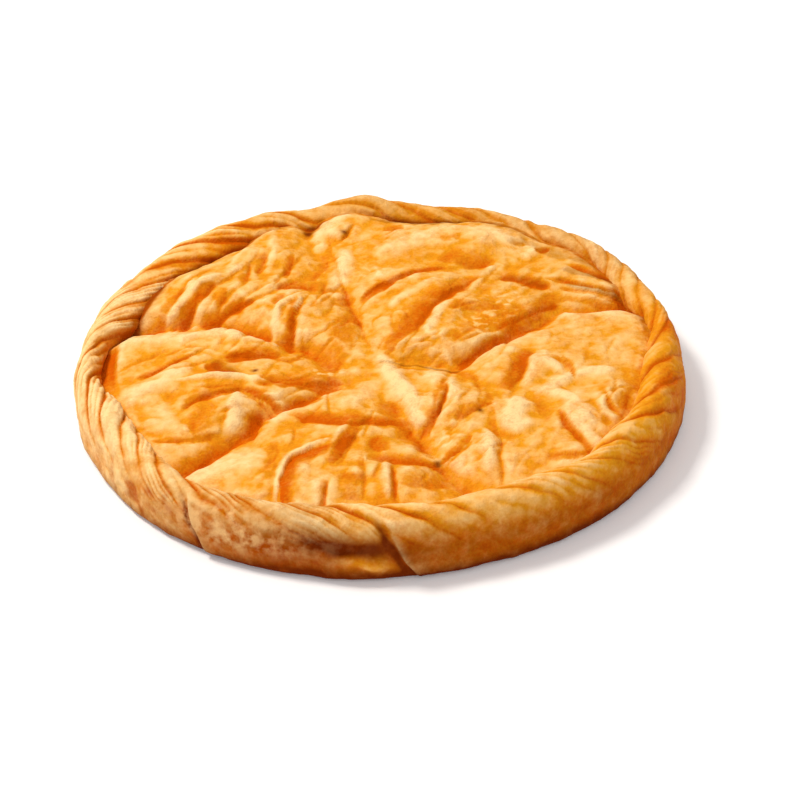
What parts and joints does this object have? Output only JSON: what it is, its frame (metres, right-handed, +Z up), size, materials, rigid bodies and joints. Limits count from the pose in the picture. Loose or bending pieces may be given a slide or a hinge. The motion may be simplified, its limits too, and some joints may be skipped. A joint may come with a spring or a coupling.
{
  "type": "chicken pie",
  "caption": "Whole round savoury pie of thin pastry sheets, with a twisted rolled rim, a puffed, pleated lid scored into portions and a flat underside to rest on.",
  "frame": {"origin": "centre of the flat underside, on the surface that the pie stands on", "axes": "+Z up out of the lid; the picture was taken from the -Y side, so +X is to its right and +Y to its back"},
  "size_m": [0.2814, 0.2804, 0.0333],
  "materials": {
    "crust": "matte"
  },
  "bodies": {
    "root": {"pie": "crust"}
  },
  "joints": []
}
